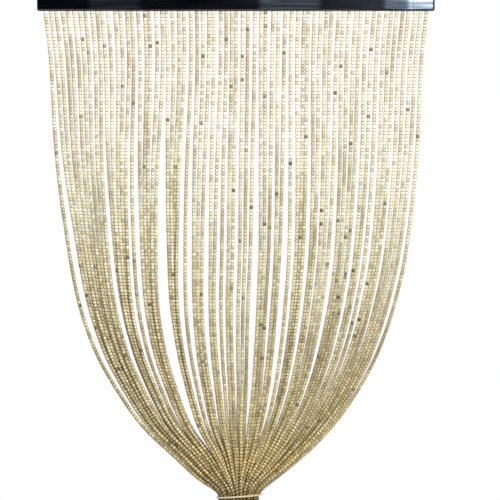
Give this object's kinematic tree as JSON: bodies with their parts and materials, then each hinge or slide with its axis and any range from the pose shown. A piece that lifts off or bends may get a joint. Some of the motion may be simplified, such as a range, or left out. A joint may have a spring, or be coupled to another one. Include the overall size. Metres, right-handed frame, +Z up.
{
  "type": "bead curtain with rail",
  "caption": "Curtain of bead strands on a straight lacquered rail, drawn together by a cord tie above a hanging tail.",
  "frame": {"origin": "middle of the rail's flat back face, which goes against a wall or lintel", "axes": "+X along the rail to the viewer's right, +Y into the wall, +Z up; the front faces -Y"},
  "size_m": [0.9, 0.0877, 2.03],
  "materials": {
    "black_lacquer": "gloss black lacquer with fine lengthwise grain",
    "wood_beads": "clear varnished pale wood beads, some browner, a few dark",
    "cotton_cord": "twisted cotton cord"
  },
  "bodies": {
    "root": {"rail": "black_lacquer", "strands_1": "wood_beads", "strands_2": "wood_beads", "strands_3": "wood_beads", "strands_4": "wood_beads", "strands_5": "wood_beads", "strands_6": "wood_beads", "tie": "cotton_cord"}
  },
  "joints": []
}
